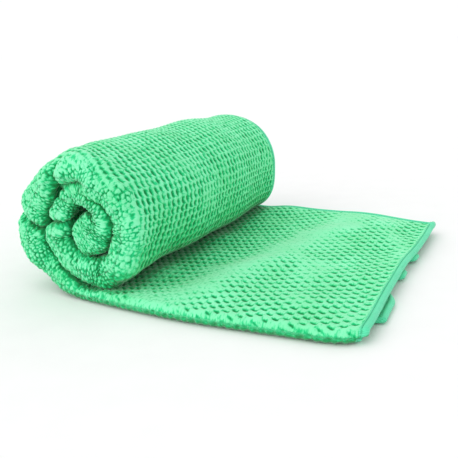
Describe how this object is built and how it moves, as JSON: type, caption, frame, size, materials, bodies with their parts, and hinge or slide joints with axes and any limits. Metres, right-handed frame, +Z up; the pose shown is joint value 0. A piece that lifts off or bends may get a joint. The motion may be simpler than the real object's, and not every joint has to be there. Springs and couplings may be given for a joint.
{
  "type": "quick dry towel",
  "caption": "Textured quick dry travel towel, folded lengthwise and loosely rolled, with its bound outer end lying flat beside the roll.",
  "frame": {"origin": "middle of the underside of the whole part: halfway between the roll's outer side and the unrolled end, halfway between the long fold and the open edges, on the surface it rests on", "axes": "+Z up, +X from the roll towards the unrolled outer end, +Y along the roll's axis from the folded edge to the two open edges"},
  "size_m": [0.336, 0.3, 0.136],
  "materials": {
    "towel_cloth": "matte pebble weave microfibre cloth in light green",
    "binding_tape": "smooth woven binding tape, slightly satin, mint green",
    "sewing_thread": "twisted polyester sewing thread, mint green"
  },
  "bodies": {
    "root": {"towel_cloth": "towel_cloth", "outer_end_tape": "binding_tape", "outer_end_needle_thread": "sewing_thread", "outer_end_bobbin_thread": "sewing_thread", "inner_end_tape": "binding_tape", "inner_end_needle_thread": "sewing_thread", "inner_end_bobbin_thread": "sewing_thread", "upper_edge_tape": "binding_tape", "upper_edge_needle_thread": "sewing_thread", "upper_edge_bobbin_thread": "sewing_thread", "lower_edge_tape": "binding_tape", "lower_edge_needle_thread": "sewing_thread", "lower_edge_bobbin_thread": "sewing_thread"}
  },
  "joints": []
}
